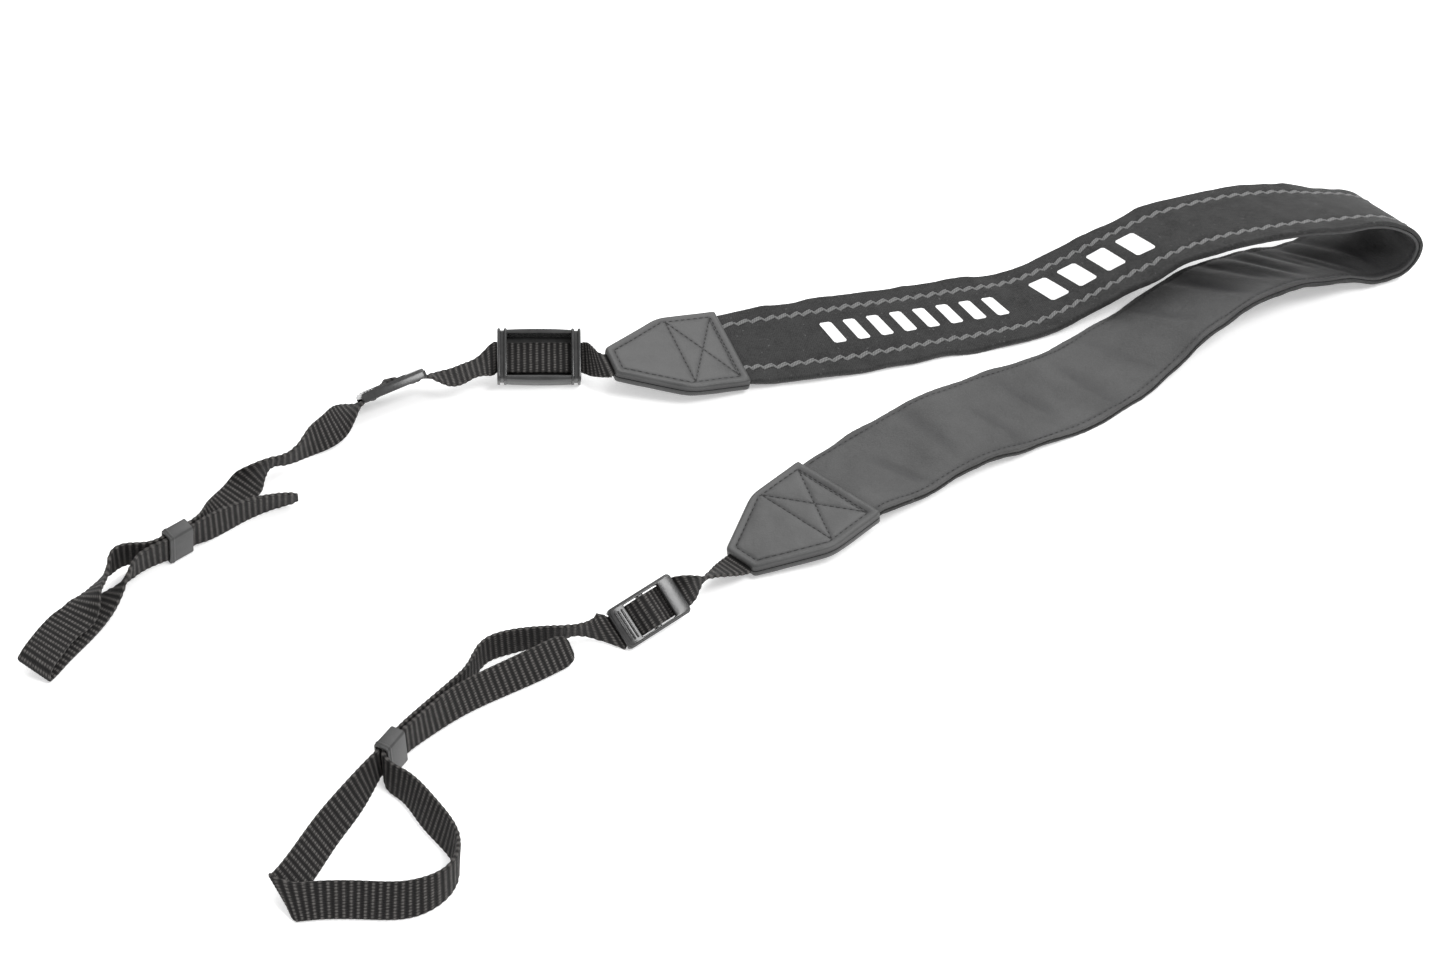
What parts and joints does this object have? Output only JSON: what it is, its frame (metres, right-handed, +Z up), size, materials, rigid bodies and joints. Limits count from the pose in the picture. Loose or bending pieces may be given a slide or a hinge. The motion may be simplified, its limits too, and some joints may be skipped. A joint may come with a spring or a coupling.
{
  "type": "camera neck strap",
  "caption": "Camera neck strap lying in a loose curve: wide padded band with leather end tabs, narrow webbing, slide buckles, keeper loops and an eyepiece cover.",
  "frame": {"origin": "bottom centre of the bounding box of the strap as it lies", "axes": "+X from the webbing ends towards the turned-over end of the neck band, +Y away from the picture's viewer, +Z up"},
  "size_m": [0.4818, 0.3386, 0.0296],
  "materials": {
    "black_face_cloth": "matte woven cloth",
    "grey_backing": "suede-like nap",
    "tab_leather": "fine-grained, semi-matte",
    "black_webbing": "ribbed weave",
    "black_plastic": "satin gloss",
    "keeper_plastic": "satin"
  },
  "bodies": {
    "root": {"neck_band_face": "black_face_cloth", "neck_band_backing": "grey_backing", "far_tab_upper_leaf": "tab_leather", "far_tab_lower_leaf": "tab_leather", "near_tab_upper_leaf": "tab_leather", "near_tab_lower_leaf": "tab_leather", "far_webbing": "black_webbing", "near_webbing": "black_webbing", "eyepiece_cover": "black_plastic", "slider_far": "black_plastic", "slider_near": "black_plastic", "keeper_far": "keeper_plastic", "keeper_near": "keeper_plastic"}
  },
  "joints": []
}
